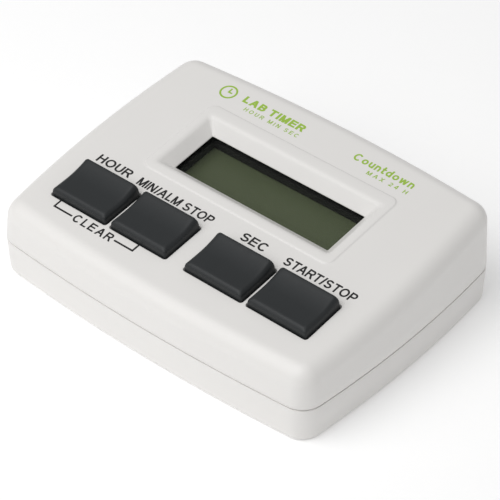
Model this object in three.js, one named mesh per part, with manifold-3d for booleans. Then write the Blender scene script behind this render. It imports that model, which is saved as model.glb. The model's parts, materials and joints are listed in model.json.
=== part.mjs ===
// Bench timer: a wedge-shaped two-part case with bowed sides, a sunken display and four keys.
// Millimetres, +Z up, +Y towards the high back edge, +X to the right of someone using it.
// The origin is the middle of the flat underside.
import * as THREE from 'three';
import { mergeVertices } from 'three/addons/utils/BufferGeometryUtils.js';
import Module from 'manifold-3d';

const wasm = await Module();
wasm.setup();

// ---------- driving dimensions ----------
const WIDTH = 80;
const DEPTH = 59.2;
const SIDE_BOW = 2.0;
const FRONT_BOW = 1.9;
const CORNER_RADIUS = 4.6;
const PARTING_Z = 7.85;
const PARTING_GAP = 0.3;
const DECK_MID_Z = 18.98;
const DECK_TILT = THREE.MathUtils.degToRad(6.6);
const WALL = 2.0;
const CEILING = 1.8;
const TOP_FILLET = 3.4;
const TOP_DRAFT = 0.45;
const BOTTOM_FILLET = 1.0;
const BOTTOM_DRAFT = 0.3;
const FIT = 0.25;
const LIP = { thickness: 0.6, rise: 1.4, clearance: 0.35 };

const FRAME = { x: 23.3, front: -3.5, back: 17.7, rise: 0.23, bevel: 0.2 };
const WELL_RIM = { x: 21.9, front: -1.57, back: 15.12 };
const WELL_FLOOR = { x: 19.08, front: 1.25, back: 12.3, depth: 2.26, sheet: 0.6 };

const KEY = { width: 13.9, length: 9.85, front: -19.8, rise: 2.5, flange: 1.0, sideFlange: 0.5 };
const KEY_GAP = 1.35;
const KEY_PAIR_GAP = 4.7;
const KEY_CLEARANCE = 0.3;

// Flat pieces stacked under the window: half width, front and back edges along the deck.
const LENS = { x: 20.6, front: -0.4, back: 13.8, thickness: 0.75 };
const SURROUND = { x: 22.5, front: -1.9, back: 14.7, lip: 1.45 };
const APERTURE = { x: 19.28, front: 1.05, back: 12.5 };
const GLASS_POCKET = { x: 20.9, front: -1.3, back: 14.1 };
const GLASS = { x: 20.6, front: -1, back: 13.8, thickness: 2.0 };
const ZEBRA = { x: 20, width: 2.2, inFromGlassEdge: 0.2 };
const KEYPAD_SHEET = { x: 33, front: -20.8, back: -8.0, thickness: 1.0 };
const DOME_HEIGHT = 3.0;
const PLUNGER_HALF = 3;
const BOARD = { x: 34, front: -21.1, back: 13.6, top: -9.5, thickness: 1.6 };
const BOARD_POSTS = [[-30, -4.5], [30, -4.5], [-30, 11.5], [30, 11.5]];
const CASE_PILLARS = [[-33.2, -23.5], [33.2, -23.5], [-33.2, 23.5], [33.2, 23.5]];
const POST_RADIUS = 2.3;
const PILLAR_RADIUS = 2.5;
const SLEEVE_RADIUS = 3.2;
const PILOT_RADIUS = 1.1;
const SCREW_HOLE_RADIUS = 1.2;
const BOARD_SCREW = { headRadius: 1.9, headHeight: 1.2, shankRadius: 0.8, shankLength: 5.4 };
const CASE_SCREW = { headRadius: 2.0, headHeight: 1.5, shankRadius: 0.8, shankLength: 9.5, z: 2.25 };
const COUNTERBORE = { radius: 2.4, depth: 4 };

const WIRE_RADIUS = 0.5;
const SPRING = { turns: 2.5, wire: 0.25, wide: 3.4, narrow: 2.2, length: 2.0, gap: 0.6 };
const CONTACT = { thickness: 0.3, halfWidth: 4, bottom: 3.8, top: 11.4, gap: 0.3 };
const CELL = { radius: 5.25, length: 43.7, nub: 0.8, nubRadius: 1.9, y: 20.5, z: 7.6 };
const BAY = { x: 26.8, front: 14.4, rib: 1.0, ribTop: 5.6, endRibUnder: 3.5 };
const DOOR = { halfWidth: 22.9, front: 15.7, top: 5.6, gap: 0.3 };
const TONGUE = { front: 16.2, back: 17.5, reach: 1.5, foot: 0.4, thickness: 0.7 };
const PIEZO = { x: -15, y: -5, radius: 10, z: 3.7, thickness: 0.3 };
const SOUND_HOLE = { radius: 0.8, circle: 3.6, around: 6 };
const GRIP = { x: 6, width: 0.7, depth: 0.4, ys: [18.5, 20.0, 21.5] };
// Cutters and hidden ends of joined solids run this far past the face that they meet.
const PAST = 1;

// ---------- materials ----------
const material = (color, roughness, metalness = 0) =>
  new THREE.MeshStandardMaterial({ color, roughness, metalness });
const white = material(0xdcdad6, 0.45);
const charcoal = material(0x3a3c3e, 0.5);
const black = material(0x121212, 0.7);
const clear = material(0xeef2f2, 0.1);
const olive = material(0x4b5240, 0.3);
const greyRubber = material(0xb9bbbd, 0.8);
const boardGreen = material(0x2d5a35, 0.55);
const steel = material(0xb5b7ba, 0.35, 1);
const brass = material(0xc9a65a, 0.35, 1);
const cellLabel = material(0x3f4a5a, 0.4);
const copperRed = material(0xa83228, 0.5);

// ---------- geometry to solid and back ----------
function closedMesh(geometry) {
  geometry.deleteAttribute('normal');
  geometry.deleteAttribute('uv');
  const merged = mergeVertices(geometry, 1e-4);
  const index = merged.index.array;
  const kept = [];
  for (let i = 0; i < index.length; i += 3) {
    const [a, b, c] = [index[i], index[i + 1], index[i + 2]];
    if (a !== b && b !== c && c !== a) kept.push(a, b, c);
  }
  return { vertices: Float32Array.from(merged.attributes.position.array), triangles: kept };
}

function solid(geometry, matrix = new THREE.Matrix4()) {
  const { vertices, triangles } = closedMesh(geometry.clone().applyMatrix4(matrix));
  const mesh = new wasm.Mesh({
    numProp: 3, vertProperties: vertices, triVerts: Uint32Array.from(triangles),
  });
  return new wasm.Manifold(mesh);
}

function geometryOf(manifold) {
  const mesh = manifold.getMesh();
  const geometry = new THREE.BufferGeometry();
  geometry.setAttribute('position', new THREE.BufferAttribute(mesh.vertProperties, 3));
  geometry.setIndex(new THREE.BufferAttribute(mesh.triVerts, 1));
  return geometry;
}

const move = (x, y, z) => new THREE.Matrix4().makeTranslation(x, y, z);

// ---------- groups ----------
const timer = new THREE.Group();
// The deck group's origin is the middle of the sloped top: its x and y run along the top face
// and its z is the height above it.
const deck = new THREE.Group();
deck.position.set(0, 0, DECK_MID_Z);
deck.rotation.x = DECK_TILT;
deck.updateMatrix();
timer.add(deck);

function place(parent, name, geometry, look) {
  const mesh = new THREE.Mesh(geometry, look);
  mesh.name = name;
  parent.add(mesh);
  return mesh;
}

// ---------- shapes ----------
function box(x0, x1, y0, y1, z0, z1) {
  const geometry = new THREE.BoxGeometry(x1 - x0, y1 - y0, z1 - z0);
  return geometry.translate((x0 + x1) / 2, (y0 + y1) / 2, (z0 + z1) / 2);
}

function rod(radius, z0, z1, sides = 16) {
  const geometry = new THREE.CylinderGeometry(radius, radius, z1 - z0, sides);
  return geometry.rotateX(Math.PI / 2).translate(0, 0, (z0 + z1) / 2);
}

function rodAlongX(radius, x0, x1, sides = 20) {
  return rod(radius, x0, x1, sides).rotateY(Math.PI / 2);
}

// A box whose lower face is the rectangle low and whose upper face is the rectangle high.
function hopper(low, high) {
  const geometry = new THREE.BoxGeometry(2, 2, 2);
  const position = geometry.attributes.position;
  for (let i = 0; i < position.count; i += 1) {
    const face = position.getZ(i) < 0 ? low : high;
    const x = position.getX(i) * face.x;
    const y = position.getY(i) < 0 ? face.front : face.back;
    position.setXYZ(i, x, y, face.z);
  }
  return geometry;
}

// A flat box over a named area: half width, front and back edges.
const slab = (area, z0, z1) => box(-area.x, area.x, area.front, area.back, z0, z1);

function roundedRectangle(x0, x1, y0, y1, radius) {
  const shape = new THREE.Shape();
  shape.moveTo(x0 + radius, y0);
  shape.lineTo(x1 - radius, y0);
  shape.absarc(x1 - radius, y0 + radius, radius, -Math.PI / 2, 0);
  shape.lineTo(x1, y1 - radius);
  shape.absarc(x1 - radius, y1 - radius, radius, 0, Math.PI / 2);
  shape.lineTo(x0 + radius, y1);
  shape.absarc(x0 + radius, y1 - radius, radius, Math.PI / 2, Math.PI);
  shape.lineTo(x0, y0 + radius);
  shape.absarc(x0 + radius, y0 + radius, radius, Math.PI, Math.PI * 1.5);
  return shape;
}

function roundedSlab(x0, x1, y0, y1, z0, z1, radius) {
  const shape = roundedRectangle(x0, x1, y0, y1, radius);
  const geometry = new THREE.ExtrudeGeometry(shape, {
    depth: z1 - z0, bevelEnabled: false, curveSegments: 3,
  });
  return geometry.translate(0, 0, z0);
}

// ---------- the bowed plan outline of the case ----------
// Each side is a parabola that bulges at its middle, and the corners are arcs tangent to them.
// Every station holds a point and its outward normal, anticlockwise from the right side's front.
function bowedOutline(sideSteps, frontSteps, cornerSteps) {
  const halfX = WIDTH / 2;
  const halfY = DEPTH / 2;
  const sideX = (y) => halfX - CORNER_RADIUS - SIDE_BOW * (y / halfY) ** 2;
  const backY = (x) => halfY - CORNER_RADIUS - FRONT_BOW * (x / halfX) ** 2;
  let cornerX = halfX - CORNER_RADIUS;
  let cornerY = halfY - CORNER_RADIUS;
  for (let pass = 0; pass < 30; pass += 1) {
    cornerX = sideX(cornerY);
    cornerY = backY(cornerX);
  }
  const station = (x, y, angle) => ({
    x: x + CORNER_RADIUS * Math.cos(angle),
    y: y + CORNER_RADIUS * Math.sin(angle),
    nx: Math.cos(angle),
    ny: Math.sin(angle),
  });
  const sideAngle = (y) => Math.atan2(2 * SIDE_BOW * y / halfY ** 2, 1);
  const backAngle = (x) => Math.atan2(1, 2 * FRONT_BOW * x / halfX ** 2);
  const half = [];
  for (let i = 0; i <= sideSteps; i += 1) {
    const y = cornerY * (2 * i / sideSteps - 1);
    half.push(station(sideX(y), y, sideAngle(y)));
  }
  const first = sideAngle(cornerY);
  const last = backAngle(cornerX);
  for (let i = 1; i < cornerSteps; i += 1) {
    half.push(station(cornerX, cornerY, first + (last - first) * i / cornerSteps));
  }
  for (let i = 0; i <= frontSteps; i += 1) {
    const x = cornerX * (1 - 2 * i / frontSteps);
    half.push(station(x, backY(x), backAngle(x)));
  }
  for (let i = 1; i < cornerSteps; i += 1) {
    const angle = Math.PI - last + (last - first) * i / cornerSteps;
    half.push(station(-cornerX, cornerY, angle));
  }
  const opposite = half.map(({ x, y, nx, ny }) => ({ x: -x, y: -y, nx: -nx, ny: -ny }));
  return [...half, ...opposite];
}

const OUTLINE = bowedOutline(6, 8, 5);

const deckHeight = (y, below = 0) => DECK_MID_Z - below + y * Math.tan(DECK_TILT);

// A closed solid whose level rings follow the outline: each row gives the ring's inset from the
// outline and its height at each depth y. A lathe gives the topology, and its points are moved.
function bowedSolid(rows) {
  const stations = OUTLINE.length;
  const profile = [new THREE.Vector2(0, 0)];
  rows.forEach((row, level) => profile.push(new THREE.Vector2(1, level)));
  profile.push(new THREE.Vector2(0, rows.length));
  const geometry = new THREE.LatheGeometry(profile, stations);
  const position = geometry.attributes.position;
  for (let turn = 0; turn <= stations; turn += 1) {
    const { x, y, nx, ny } = OUTLINE[turn % stations];
    for (let level = 0; level < profile.length; level += 1) {
      const onAxis = level === 0 || level === profile.length - 1;
      const row = rows[Math.min(Math.max(level - 1, 0), rows.length - 1)];
      const px = onAxis ? 0 : x - nx * row.inset;
      const py = onAxis ? 0 : y - ny * row.inset;
      position.setXYZ(turn * profile.length + level, px, py, row.height(py));
    }
  }
  return geometry;
}

function quarterRound(steps, radius) {
  return Array.from({ length: steps + 1 }, (unused, i) => {
    const angle = Math.PI / 2 * i / steps;
    return { inward: radius * (1 - Math.cos(angle)), along: radius * Math.sin(angle) };
  });
}

// ---------- top case ----------
function deckSolid(geometry) {
  return solid(geometry, deck.matrix);
}

function keyCentres() {
  const near = KEY_PAIR_GAP / 2 + KEY.width / 2;
  const far = near + KEY.width + KEY_GAP;
  return [-far, -near, near, far];
}

const KEY_NAMES = ['hour', 'minute', 'second', 'start'];
const KEY_MIDDLE_Y = KEY.front + KEY.length / 2;

function topCase() {
  const outerRows = [{ inset: 0, height: () => PARTING_Z + PARTING_GAP / 2 }];
  for (const { inward, along } of quarterRound(5, TOP_FILLET)) {
    const below = TOP_FILLET - along;
    outerRows.push({ inset: TOP_DRAFT + inward, height: (y) => deckHeight(y, below) });
  }
  const innerRows = [{ inset: WALL, height: () => PARTING_Z - 1 }];
  for (const { inward, along } of quarterRound(3, TOP_FILLET - WALL)) {
    const below = CEILING + TOP_FILLET - WALL - along;
    innerRows.push({ inset: WALL + TOP_DRAFT + inward, height: (y) => deckHeight(y, below) });
  }
  const outer = solid(bowedSolid(outerRows));
  let shell = outer.subtract(solid(bowedSolid(innerRows)));

  const frameShape = roundedRectangle(
    FRAME.bevel - FRAME.x, FRAME.x - FRAME.bevel,
    FRAME.front + FRAME.bevel, FRAME.back - FRAME.bevel, 2.0,
  );
  const raised = new THREE.ExtrudeGeometry(frameShape, {
    depth: 1.2, bevelThickness: FRAME.bevel, bevelSize: FRAME.bevel, bevelSegments: 2,
    curveSegments: 4,
  });
  raised.translate(0, 0, FRAME.rise - FRAME.bevel - 1.2);
  shell = shell.add(deckSolid(raised));

  const floorUnder = -WELL_FLOOR.depth - WELL_FLOOR.sheet;
  const wellWall = 0.7;
  shell = shell.add(deckSolid(box(
    -WELL_RIM.x - wellWall, WELL_RIM.x + wellWall,
    WELL_RIM.front - wellWall, WELL_RIM.back + wellWall, floorUnder, -1,
  )));
  const well = hopper({ ...WELL_FLOOR, z: -WELL_FLOOR.depth }, { ...WELL_RIM, z: FRAME.rise });
  shell = shell.subtract(deckSolid(well));
  const mouth = hopper({ ...WELL_RIM, z: FRAME.rise - 0.01 }, { ...WELL_RIM, z: FRAME.rise + 1 });
  shell = shell.subtract(deckSolid(mouth));
  const { x, front, back } = WELL_FLOOR;
  shell = shell.subtract(deckSolid(box(-x, x, front, back, floorUnder - 1, 1 - WELL_FLOOR.depth)));

  const openX = KEY.width / 2 + KEY_CLEARANCE;
  const openY = KEY.length / 2 + KEY_CLEARANCE;
  for (const centre of keyCentres()) {
    const hole = roundedSlab(
      centre - openX, centre + openX, KEY_MIDDLE_Y - openY, KEY_MIDDLE_Y + openY, -4, 3, 0.6,
    );
    shell = shell.subtract(deckSolid(hole));
  }
  for (const [px, py] of BOARD_POSTS) {
    const post = rod(POST_RADIUS, BOARD.top + FIT, -1).translate(px, py, 0);
    const pilot = rod(PILOT_RADIUS, BOARD.top - 1, -3).translate(px, py, 0);
    shell = shell.add(deckSolid(post)).subtract(deckSolid(pilot));
  }
  const foot = PARTING_Z + PARTING_GAP / 2;
  for (const [px, py] of CASE_PILLARS) {
    const crown = deckHeight(py, 1);
    const pillar = solid(rod(PILLAR_RADIUS, foot, crown), move(px, py, 0)).intersect(outer);
    const pilot = solid(rod(PILOT_RADIUS, foot - 1, foot + 6), move(px, py, 0));
    shell = shell.add(pillar).subtract(pilot);
  }
  place(timer, 'top_case', geometryOf(shell), white);
}

// ---------- bottom case and battery door ----------
// A thin lip stands up inside the seam, so that no light shows through it.
function seamLip(rim) {
  const ring = (inset) => solid(bowedSolid([
    { inset, height: () => rim - 1.2 },
    { inset, height: () => rim + LIP.rise },
  ]));
  const outside = WALL + LIP.clearance;
  let lip = ring(outside).subtract(ring(outside + LIP.thickness));
  for (const [px, py] of CASE_PILLARS) {
    const room = solid(rod(PILLAR_RADIUS + LIP.clearance, rim, rim + 3), move(px, py, 0));
    lip = lip.subtract(room);
  }
  // The lip's foot reaches out into the wall below the seam.
  const foot = (inset) => solid(bowedSolid([
    { inset, height: () => rim - 1.2 },
    { inset, height: () => rim },
  ]));
  return lip.add(foot(WALL - 0.5).subtract(foot(outside + LIP.thickness)));
}

function bottomShell() {
  const rim = PARTING_Z - PARTING_GAP / 2;
  const outerRows = quarterRound(3, BOTTOM_FILLET).reverse().map(({ inward, along }) => ({
    inset: BOTTOM_DRAFT + inward,
    height: () => BOTTOM_FILLET - along,
  }));
  outerRows.push({ inset: 0, height: () => rim });
  const innerRows = [
    { inset: WALL + 0.6, height: () => WALL },
    { inset: WALL, height: () => WALL + 0.8 },
    { inset: WALL, height: () => rim + 1 },
  ];
  const outer = solid(bowedSolid(outerRows));
  const shell = outer.subtract(solid(bowedSolid(innerRows))).add(seamLip(rim));
  return { outer, shell, rim };
}

// Two short tongues ride on the inner face of the tray's floor, and each has a foot on the door.
function doorTongues() {
  const under = WALL + DOOR.gap;
  return [-1, 1].flatMap((side) => {
    const edge = side * (DOOR.halfWidth - DOOR.gap);
    const reach = side * (DOOR.halfWidth + TONGUE.reach);
    const root = edge - side * TONGUE.foot;
    const over = (from, to, z0, z1) => box(
      Math.min(from, to), Math.max(from, to), TONGUE.front, TONGUE.back, z0, z1,
    );
    const footTop = under + TONGUE.thickness / 2;
    return [
      over(root, reach, under, under + TONGUE.thickness),
      over(root, edge, WALL - 0.5, footTop),
    ];
  });
}

function bottomCaseAndDoor() {
  const { outer, shell, rim } = bottomShell();
  const opening = solid(box(-DOOR.halfWidth, DOOR.halfWidth, DOOR.front, DEPTH, -1, DOOR.top));
  let tray = shell.subtract(opening);

  for (const [px, py] of CASE_PILLARS) {
    const sleeve = solid(rod(SLEEVE_RADIUS, 0.5, rim), move(px, py, 0)).intersect(outer);
    const { radius, depth } = COUNTERBORE;
    const counterbore = solid(rod(radius, -PAST, depth), move(px, py, 0));
    const clearance = solid(rod(SCREW_HOLE_RADIUS, depth - PAST, rim + PAST), move(px, py, 0));
    tray = tray.add(sleeve).subtract(counterbore).subtract(clearance);
  }
  // The end ribs stand clear of the floor, so that the door's tongues pass under them.
  const plusRibX = (CELL.length + CELL.nub) / 2 + 0.9;
  const backWall = DEPTH / 2 - 1.6;
  const bayRibs = [
    box(-BAY.x, BAY.x, BAY.front, BAY.front + BAY.rib, WALL - 0.5, BAY.ribTop),
    box(-BAY.x, BAY.rib - BAY.x, BAY.front, backWall, BAY.endRibUnder, rim),
    box(plusRibX, plusRibX + BAY.rib, BAY.front, backWall, BAY.endRibUnder, rim),
  ];
  for (const rib of bayRibs) tray = tray.add(solid(rib).intersect(outer));

  const at = move(PIEZO.x, PIEZO.y, 0);
  const ring = solid(rod(PIEZO.radius + 1.3, WALL - 0.5, PIEZO.z + 0.7, 28), at);
  const seat = solid(rod(PIEZO.radius + 0.3, PIEZO.z - FIT, PIEZO.z + 2, 28), at);
  const chamber = solid(rod(PIEZO.radius - 1, WALL, PIEZO.z + 1, 28), at);
  tray = tray.add(ring).subtract(seat).subtract(chamber);
  const { radius, circle, around } = SOUND_HOLE;
  for (let i = 0; i <= around; i += 1) {
    const out = i < around ? circle : 0;
    const angle = Math.PI * 2 * i / around;
    const spot = move(PIEZO.x + out * Math.cos(angle), PIEZO.y + out * Math.sin(angle), 0);
    tray = tray.subtract(solid(rod(radius, -PAST, WALL + PAST, 10), spot));
  }
  place(timer, 'bottom_case', geometryOf(tray), white);

  const reach = DOOR.halfWidth - DOOR.gap;
  const front = DOOR.front + DOOR.gap;
  const doorBlank = solid(box(-reach, reach, front, DEPTH, -1, DOOR.top - DOOR.gap));
  let door = shell.intersect(doorBlank);
  for (const tongue of doorTongues()) door = door.add(solid(tongue));
  for (const y of GRIP.ys) {
    door = door.subtract(solid(box(-GRIP.x, GRIP.x, y, y + GRIP.width, -PAST, GRIP.depth)));
  }
  place(timer, 'battery_door', geometryOf(door), white);
}

// ---------- keys ----------
// The cap's side profile is a steep front, a bevel, a scooped top and a higher back edge; a
// second profile, seen from the front, draws the sides in towards the top.
function keyCap() {
  const { width, length, rise } = KEY;
  const under = -CEILING - FIT;
  const side = new THREE.Shape();
  side.moveTo(0, under);
  side.lineTo(length, under);
  side.lineTo(length, 0);
  side.lineTo(length - 0.15, rise - 0.5);
  side.quadraticCurveTo(length - 0.25, rise, length - 0.6, rise);
  side.quadraticCurveTo(length - 3.1, 1.6, 4.2, 1.65);
  side.lineTo(0.8, 1.65);
  side.lineTo(0.2, 1.1);
  side.lineTo(0, 0);
  side.closePath();
  const across = new THREE.Shape();
  const half = width / 2;
  across.moveTo(-half, under - 1);
  across.lineTo(half, under - 1);
  across.lineTo(half, 0);
  across.lineTo(half - 0.15, 0.9);
  across.lineTo(half - 0.9, 1.8);
  across.lineTo(half - 1.0, rise + 1);
  across.lineTo(1.0 - half, rise + 1);
  across.lineTo(0.9 - half, 1.8);
  across.lineTo(0.15 - half, 0.9);
  across.lineTo(-half, 0);
  across.closePath();
  // side is drawn in (y, z) and extruded along x; across is drawn in (x, z) and extruded along y
  const turnSide = new THREE.Matrix4().makeBasis(
    new THREE.Vector3(0, 1, 0), new THREE.Vector3(0, 0, 1), new THREE.Vector3(1, 0, 0),
  );
  const options = (depth) => ({ depth, bevelEnabled: false, curveSegments: 4 });
  const sideBlock = new THREE.ExtrudeGeometry(side, options(width + 2)).applyMatrix4(turnSide);
  sideBlock.translate(-half - 1, -length / 2, 0);
  const acrossBlock = new THREE.ExtrudeGeometry(across, options(length + 2)).rotateX(Math.PI / 2);
  acrossBlock.translate(0, length / 2 + 1, 0);
  return solid(sideBlock).intersect(solid(acrossBlock));
}

function keySolid() {
  const halfX = KEY.width / 2 + KEY.sideFlange;
  const halfY = KEY.length / 2 + KEY.flange;
  const ceiling = -CEILING - FIT;
  const flange = box(-halfX, halfX, -halfY, halfY, ceiling - 1, ceiling);
  const domeTop = BOARD.top + FIT + DOME_HEIGHT;
  const plungerArea = { x: PLUNGER_HALF, front: -PLUNGER_HALF, back: PLUNGER_HALF };
  const plunger = slab(plungerArea, domeTop + FIT, ceiling - 0.5);
  return keyCap().add(solid(flange)).add(solid(plunger));
}

function keysAndKeypad() {
  const keyGeometry = geometryOf(keySolid());
  const sheetBase = BOARD.top + FIT;
  let sheet = solid(slab(KEYPAD_SHEET, sheetBase, sheetBase + KEYPAD_SHEET.thickness));
  // A hollow rubber dome with a thin skirt, open towards the board.
  const domeProfile = [
    [0, DOME_HEIGHT - 1], [1.9, DOME_HEIGHT - 1], [2.9, 0.4], [2.9, 0], [3.7, 0], [3.7, 1.0],
    [2.6, DOME_HEIGHT], [0, DOME_HEIGHT],
  ].map(([radius, height]) => new THREE.Vector2(radius, height));
  const domeGeometry = new THREE.LatheGeometry(domeProfile, 18).rotateX(Math.PI / 2);
  keyCentres().forEach((centre, i) => {
    const key = place(deck, `key_${KEY_NAMES[i]}`, keyGeometry, charcoal);
    key.position.set(centre, KEY_MIDDLE_Y, 0);
    const dome = place(deck, `keypad_dome_${KEY_NAMES[i]}`, domeGeometry, greyRubber);
    dome.position.set(centre, KEY_MIDDLE_Y, sheetBase);
    const hole = rod(4.0, sheetBase - 1, sheetBase + 3, 18).translate(centre, KEY_MIDDLE_Y, 0);
    sheet = sheet.subtract(solid(hole));
  });
  place(deck, 'keypad_sheet', geometryOf(sheet), greyRubber);
}

// ---------- display ----------
function display() {
  const lensTop = -WELL_FLOOR.depth - WELL_FLOOR.sheet - FIT;
  const lensUnder = lensTop - LENS.thickness;
  const surroundTop = lensUnder - FIT;
  const lipUnder = surroundTop - SURROUND.lip;
  const base = BOARD.top + FIT;
  place(deck, 'window_lens', slab(LENS, lensUnder, lensTop), clear);

  let surround = solid(slab(SURROUND, base, surroundTop));
  surround = surround.subtract(solid(slab(APERTURE, base - PAST, surroundTop + PAST)));
  surround = surround.subtract(solid(slab(GLASS_POCKET, base - PAST, lipUnder)));
  place(deck, 'display_surround', geometryOf(surround), black);

  const glassTop = lipUnder - FIT;
  const glassUnder = glassTop - GLASS.thickness;
  place(deck, 'display_glass', slab(GLASS, glassUnder, glassTop), olive);
  const strip = (front) => slab(
    { x: ZEBRA.x, front, back: front + ZEBRA.width }, base, glassUnder - FIT,
  );
  const frontStrip = GLASS.front + ZEBRA.inFromGlassEdge;
  const backStrip = GLASS.back - ZEBRA.inFromGlassEdge - ZEBRA.width;
  place(deck, 'zebra_strip_front', strip(frontStrip), black);
  place(deck, 'zebra_strip_back', strip(backStrip), black);
}

// ---------- circuit board ----------
// A pan-head screw, head down, with a round recess in its head.
function screwSolid({ headRadius, headHeight, shankRadius, shankLength }) {
  const recess = { radius: 0.7, depth: 0.5 };
  const profile = [
    [0, recess.depth], [recess.radius, recess.depth], [recess.radius, 0],
    [headRadius - 0.3, 0], [headRadius, 0.4],
    [headRadius, headHeight], [shankRadius, headHeight],
    [shankRadius, headHeight + shankLength - 0.6], [0, headHeight + shankLength],
  ].map(([radius, height]) => new THREE.Vector2(radius, height));
  return new THREE.LatheGeometry(profile, 14).rotateX(Math.PI / 2);
}

function circuit() {
  const under = BOARD.top - BOARD.thickness;
  let board = solid(slab(BOARD, under, BOARD.top));
  for (const [px, py] of BOARD_POSTS) {
    const hole = rod(SCREW_HOLE_RADIUS, under - PAST, BOARD.top + PAST);
    board = board.subtract(solid(hole, move(px, py, 0)));
  }
  place(deck, 'circuit_board', geometryOf(board), boardGreen);
  const boardScrew = screwSolid(BOARD_SCREW);
  BOARD_POSTS.forEach(([px, py], i) => {
    const screw = place(deck, `board_screw_${i + 1}`, boardScrew, steel);
    screw.position.set(px, py, under - FIT - BOARD_SCREW.headHeight);
  });

  const blobProfile = [[0, 0], [5, 0], [4.6, 0.7], [3.2, 1.3], [0, 1.6]]
    .map(([radius, height]) => new THREE.Vector2(radius, height));
  const blob = new THREE.LatheGeometry(blobProfile, 18).rotateX(-Math.PI / 2);
  place(deck, 'chip_blob', blob, black).position.set(8, -6, under - FIT);
  const crystalRadius = 1.0;
  place(deck, 'quartz_crystal', rodAlongX(crystalRadius, -3, 3, 12), steel)
    .position.set(18, -2, under - FIT - crystalRadius);
  const coilHeight = 3.6;
  place(deck, 'boost_coil', rod(2.8, -coilHeight, 0), black).position.set(19, 5, under - FIT);
  const canRadius = 2.2;
  const canHeight = 3.4;
  const section = new THREE.Shape();
  section.moveTo(-canRadius, -0.4);
  section.lineTo(canRadius, -0.4);
  section.absarc(0, 0, canRadius, 0, Math.PI);
  section.closePath();
  const can = new THREE.ExtrudeGeometry(section, {
    depth: canHeight, bevelEnabled: false, curveSegments: 8,
  });
  place(deck, 'beeper_transistor', can, black).position.set(12, 6, under - FIT - canHeight);
}

// ---------- beeper, cell and contacts ----------
function wire(name, points, look) {
  const path = new THREE.CatmullRomCurve3(points.map((point) => new THREE.Vector3(...point)));
  const section = new THREE.Shape();
  section.absarc(0, 0, WIRE_RADIUS, 0, Math.PI * 2);
  const geometry = new THREE.ExtrudeGeometry(section, {
    steps: 10, extrudePath: path, curveSegments: 8,
  });
  place(timer, name, geometryOf(solid(geometry)), look);
}

function power() {
  const disc = rod(PIEZO.radius, PIEZO.z, PIEZO.z + PIEZO.thickness, 28);
  disc.translate(PIEZO.x, PIEZO.y, 0);
  place(timer, 'piezo_disc', disc, brass);

  const half = (CELL.length + CELL.nub) / 2;
  const shoulder = half - CELL.nub;
  const cellProfile = [
    [0, -half], [4.3, -half], [CELL.radius, 0.5 - half], [CELL.radius, shoulder - 0.6],
    [CELL.radius - 0.6, shoulder], [CELL.nubRadius, shoulder], [CELL.nubRadius, half], [0, half],
  ].map(([radius, height]) => new THREE.Vector2(radius, height));
  const cell = new THREE.LatheGeometry(cellProfile, 20).rotateZ(-Math.PI / 2);
  place(timer, 'battery_cell', cell, cellLabel).position.set(0, CELL.y, CELL.z);

  const springEnd = -half - SPRING.gap - SPRING.length;
  const plate = (x0) => box(
    x0, x0 + CONTACT.thickness, CELL.y - CONTACT.halfWidth, CELL.y + CONTACT.halfWidth,
    CONTACT.bottom, CONTACT.top,
  );
  place(timer, 'battery_plus_contact', plate(half + CONTACT.gap), steel);
  const behindSpring = springEnd - SPRING.wire - CONTACT.gap - CONTACT.thickness;
  place(timer, 'battery_minus_contact', plate(behindSpring), steel);

  // A coil spring that widens away from the cell.
  const coil = new THREE.Curve();
  coil.getPoint = (t) => {
    const angle = t * SPRING.turns * Math.PI * 2;
    const radius = SPRING.wide + (SPRING.narrow - SPRING.wide) * t;
    const x = springEnd + SPRING.length * t;
    const across = CELL.y + radius * Math.cos(angle);
    return new THREE.Vector3(x, across, CELL.z + radius * Math.sin(angle));
  };
  const section = new THREE.Shape();
  section.absarc(0, 0, SPRING.wire, 0, Math.PI * 2);
  const spring = new THREE.ExtrudeGeometry(section, {
    steps: 40, extrudePath: coil, curveSegments: 6,
  });
  place(timer, 'battery_spring', geometryOf(solid(spring)), steel);

  wire('battery_wire_red', [[25, 15, 6.8], [25.6, 12.5, 6], [25, 9, 6], [25, 7, 7]], copperRed);
  wire('battery_wire_black', [[-24.6, 13.4, 7], [-25, 11, 5], [-22, 8, 5.4], [-20, 7, 7]], black);
  wire('piezo_wire_red', [[-9, -5, 4.9], [-5, -6, 5.4], [-2, -9, 5.6]], copperRed);
  wire('piezo_wire_black', [[-10, -8, 5.0], [-6, -11, 5.2], [-3, -12, 5.3]], black);
}

function caseScrews() {
  const screw = screwSolid(CASE_SCREW);
  CASE_PILLARS.forEach(([px, py], i) => {
    place(timer, `case_screw_${i + 1}`, screw, steel)
      .position.set(px, py, CASE_SCREW.z);
  });
}

topCase();
bottomCaseAndDoor();
keysAndKeypad();
display();
circuit();
power();
caseScrews();

export default timer;
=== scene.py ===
import json
import math

import bmesh
import bpy
from mathutils import Matrix, Vector
from mathutils.geometry import delaunay_2d_cdt


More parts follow.
